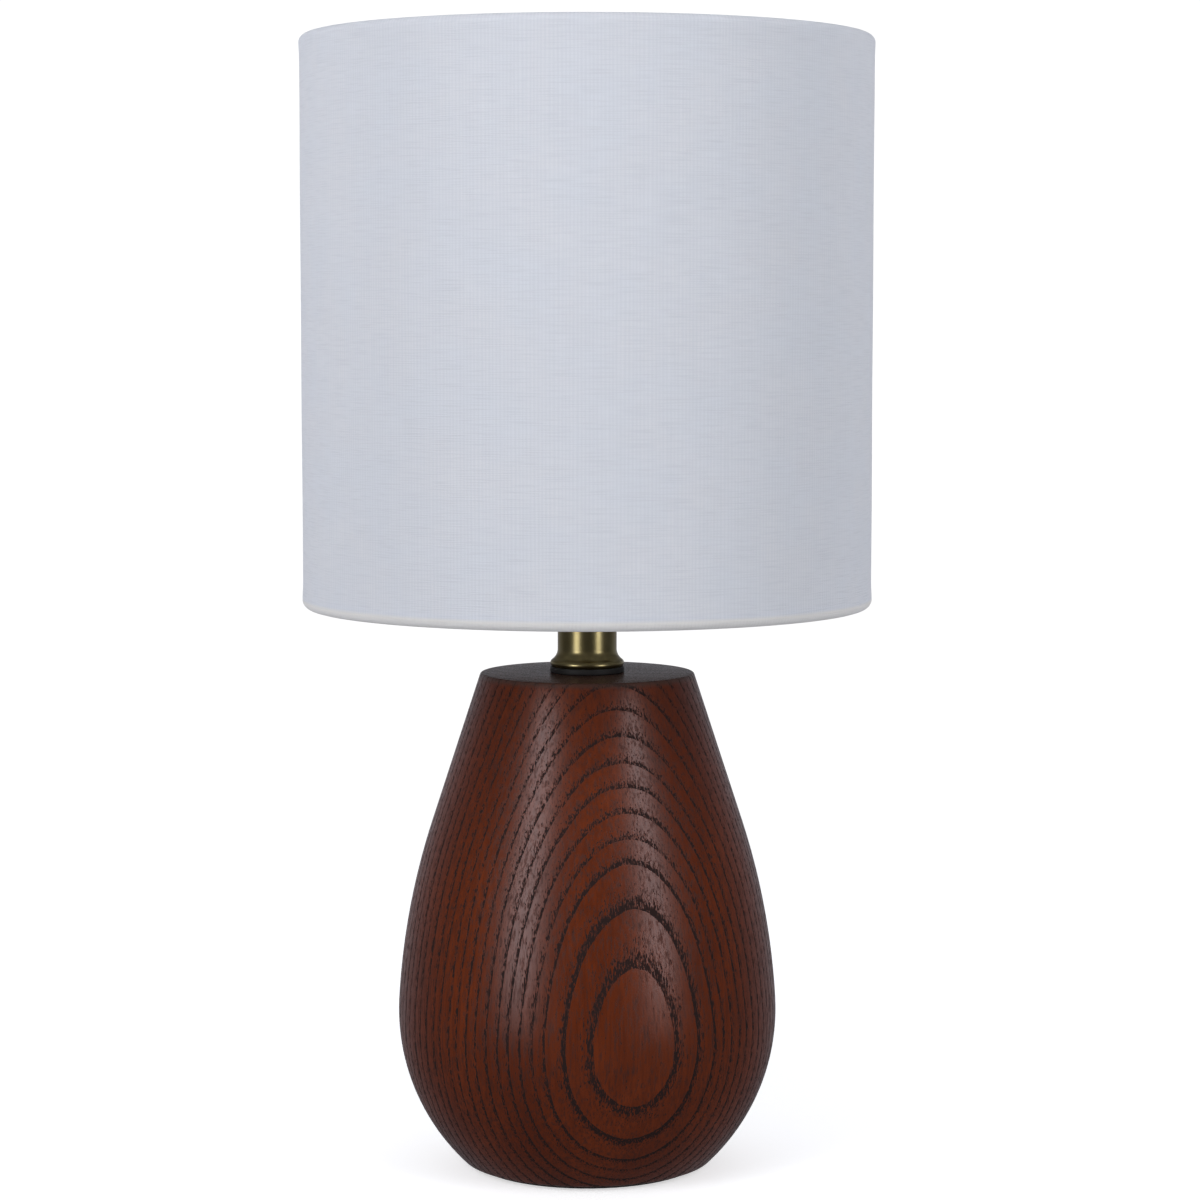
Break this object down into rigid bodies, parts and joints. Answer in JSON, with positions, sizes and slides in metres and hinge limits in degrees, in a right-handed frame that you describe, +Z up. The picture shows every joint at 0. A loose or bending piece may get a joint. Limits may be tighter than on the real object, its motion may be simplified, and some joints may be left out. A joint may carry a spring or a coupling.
{
  "type": "table lamp",
  "caption": "Table lamp: turned wood base, brass neck and turn-knob socket, with a white fabric drum shade that a wire harp carries.",
  "frame": {"origin": "middle of the foot, on the surface that the lamp stands on", "axes": "+Z up, -Y towards the switch knob, +Y towards the cord hole, harp in the XZ plane"},
  "size_m": [0.2032, 0.2032, 0.4038],
  "materials": {
    "stained_wood": "reddish brown stain under a satin clear coat",
    "felt": "pressed dark brown felt",
    "black_plastic": "moulded black plastic",
    "zinc_steel": "zinc plated steel",
    "rubber": "moulded black rubber",
    "antique_brass": "spun brass with a dark bronze finish, polished",
    "plated_steel": "brass plated steel",
    "socket_brass": "drawn brass, bright dipped",
    "paperboard": "grey insulating paperboard",
    "phenolic": "moulded phenolic",
    "shell_brass": "stamped brass",
    "painted_wire": "white enamelled steel wire",
    "white_styrene": "white styrene sheet",
    "shade_linen": "white slubbed linen-look weave",
    "frosted_bulb": "frosted polycarbonate",
    "bulb_metal": "nickel plated"
  },
  "bodies": {
    "lamp": {"wood_base": "stained_wood", "felt_pad": "felt", "cord_bushing": "black_plastic", "lamp_pipe": "zinc_steel", "bottom_washer": "zinc_steel", "bottom_lock_washer": "zinc_steel", "bottom_nut": "zinc_steel", "rubber_gasket": "rubber", "brass_neck": "antique_brass", "harp_saddle": "plated_steel", "pipe_locknut": "zinc_steel", "socket_cap": "socket_brass", "cap_set_screw": "zinc_steel", "socket_shell": "socket_brass", "paper_sleeve": "paperboard", "socket_body": "phenolic", "screw_shell": "shell_brass", "centre_contact": "shell_brass", "terminal_screws": "shell_brass"},
    "knob": {"switch_knob": "black_plastic", "switch_shaft": "zinc_steel"},
    "harp": {"harp_wire": "plated_steel", "harp_stud": "plated_steel"},
    "sleeve_left": {"harp_sleeve_left": "plated_steel"},
    "sleeve_right": {"harp_sleeve_right": "plated_steel"},
    "shade": {"spider_hub": "painted_wire", "spider_arm_back": "painted_wire", "spider_arm_left": "painted_wire", "spider_arm_right": "painted_wire", "top_ring": "painted_wire", "bottom_ring": "painted_wire", "shade_liner": "white_styrene", "shade_fabric": "shade_linen"},
    "finial": {"finial": "antique_brass"},
    "bulb": {"bulb_globe": "frosted_bulb", "bulb_screw_cap": "bulb_metal", "bulb_insulator": "phenolic", "bulb_contact": "bulb_metal"}
  },
  "joints": [
    {"name": "knob_turn", "type": "hinge", "parent": "lamp", "child": "knob", "pos_m": [0, -0.026, 0.2353], "axis": [0, -1, 0], "continuous": true},
    {"name": "harp_lift", "type": "slide", "parent": "lamp", "child": "harp", "axis": [0, 0, 1], "range_m": [0, 0.025]},
    {"name": "sleeve_left_slide", "type": "slide", "parent": "harp", "child": "sleeve_left", "axis": [0, 0, 1], "range_m": [0, 0.012]},
    {"name": "sleeve_right_slide", "type": "slide", "parent": "harp", "child": "sleeve_right", "axis": [0, 0, 1], "range_m": [0, 0.012]},
    {"name": "shade_turn", "type": "hinge", "parent": "harp", "child": "shade", "pos_m": [0, 0, 0.3842], "axis": [0, 0, 1], "continuous": true},
    {"name": "finial_turn", "type": "hinge", "parent": "harp", "child": "finial", "pos_m": [0, 0, 0.386], "axis": [0, 0, 1], "range_deg": [0, 4200]},
    {"name": "bulb_turn", "type": "hinge", "parent": "lamp", "child": "bulb", "pos_m": [0, 0, 0.252], "axis": [0, 0, 1], "range_deg": [0, 1200]}
  ]
}
